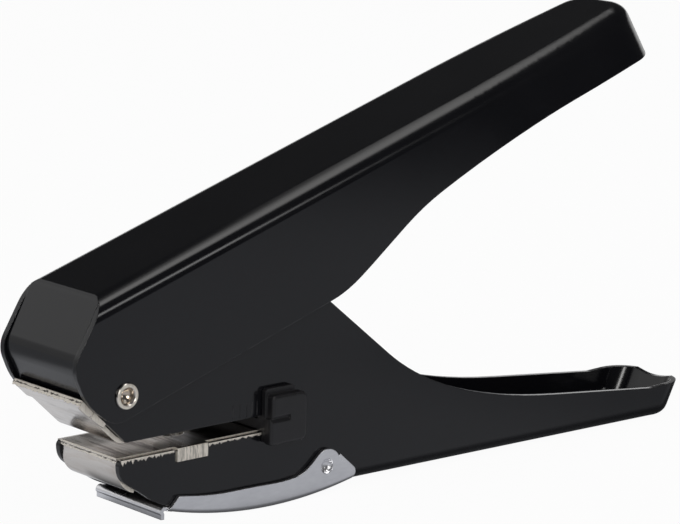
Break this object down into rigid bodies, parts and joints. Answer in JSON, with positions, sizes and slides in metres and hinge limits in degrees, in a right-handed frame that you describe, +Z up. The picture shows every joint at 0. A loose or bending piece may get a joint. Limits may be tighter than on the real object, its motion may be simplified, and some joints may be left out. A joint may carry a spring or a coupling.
{
  "type": "single hole punch",
  "caption": "Hand-held single hole punch with a squeeze handle, a paper throat with a sliding guide and a swing-down chip tray.",
  "frame": {"origin": "on the table under the middle of the part's length and width, lowest point at 0", "axes": "+X from the paper throat to the tail of the handles, +Z up, +Y across"},
  "size_m": [0.1862, 0.0282, 0.1004],
  "materials": {
    "black_enamel": "satin",
    "nickel": "bright",
    "tray_steel": "satin",
    "black_plastic": "fine grain",
    "tool_steel": "ground",
    "spring_steel": "drawn wire",
    "zinc": "as cast"
  },
  "bodies": {
    "frame": {"lower_handle": "black_enamel", "throat_plate": "nickel", "die_plate": "nickel", "jaw_shield": "nickel", "pivot_rivet": "nickel", "punch_guide": "zinc", "guide_rivets": "tool_steel", "return_spring": "spring_steel", "pivot_spacer": "tool_steel", "pivot_washers": "tool_steel", "arm_spacer": "tool_steel", "arm_rivet": "tool_steel"},
    "handle": {"upper_handle": "black_enamel", "drive_bracket": "tool_steel"},
    "punch": {"punch": "tool_steel", "punch_clip": "spring_steel", "spring_washer": "tool_steel", "drive_pin": "tool_steel", "pin_clips": "spring_steel"},
    "tray": {"chip_tray": "tray_steel"},
    "guide": {"paper_guide": "black_plastic"}
  },
  "joints": [
    {"name": "handle_hinge", "type": "hinge", "parent": "frame", "child": "handle", "pos_m": [-0.08054, 0, 0.03087], "axis": [0, 1, 0], "range_deg": [0, 12], "stiffness_Nm_per_rad": 1, "springref_deg": -11.46},
    {"name": "punch_slide", "type": "slide", "parent": "frame", "child": "punch", "axis": [-0.0005, 0, -1], "range_m": [0, 0.0046], "deforming": ["return_spring"]},
    {"name": "tray_hinge", "type": "hinge", "parent": "frame", "child": "tray", "pos_m": [-0.02445, 0, 0.00644], "axis": [0, -1, 0], "range_deg": [0, 65]},
    {"name": "guide_slide", "type": "slide", "parent": "frame", "child": "guide", "axis": [1, 0, -0.0005], "range_m": [-0.009, 0.0035]}
  ],
  "couplings": [
    {"joint": "punch_slide", "follows": "handle_hinge", "m_per_rad": 0.0215}
  ]
}
